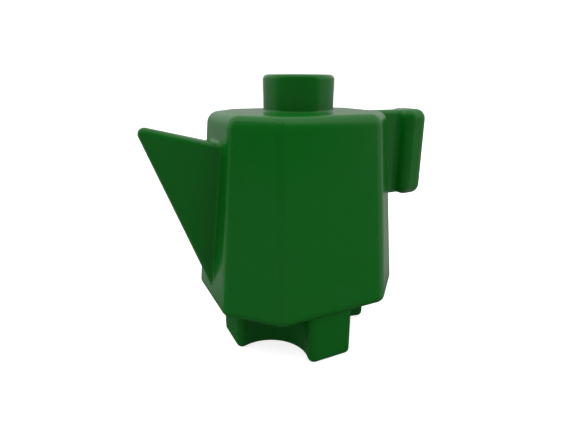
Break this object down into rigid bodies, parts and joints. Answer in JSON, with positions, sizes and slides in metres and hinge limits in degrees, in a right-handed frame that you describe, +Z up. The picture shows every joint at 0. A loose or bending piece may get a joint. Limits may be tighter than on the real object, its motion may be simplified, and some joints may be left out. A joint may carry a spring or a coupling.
{
  "type": "toy teapot",
  "caption": "Moulded toy teapot with faceted, flared body, wedge spout, upright grip handle, round stud knob and a legged foot that seats over or among large toy-brick studs.",
  "frame": {"origin": "on the axis of the knob and socket, at the sole of the foot", "axes": "+Z up along the knob, +X from the spout to the handle, +Y across the body"},
  "size_m": [0.0418, 0.0226, 0.0369],
  "materials": {
    "green_plastic": "glossy moulded plastic, the same green all through"
  },
  "bodies": {
    "root": {"teapot": "green_plastic"}
  },
  "joints": []
}
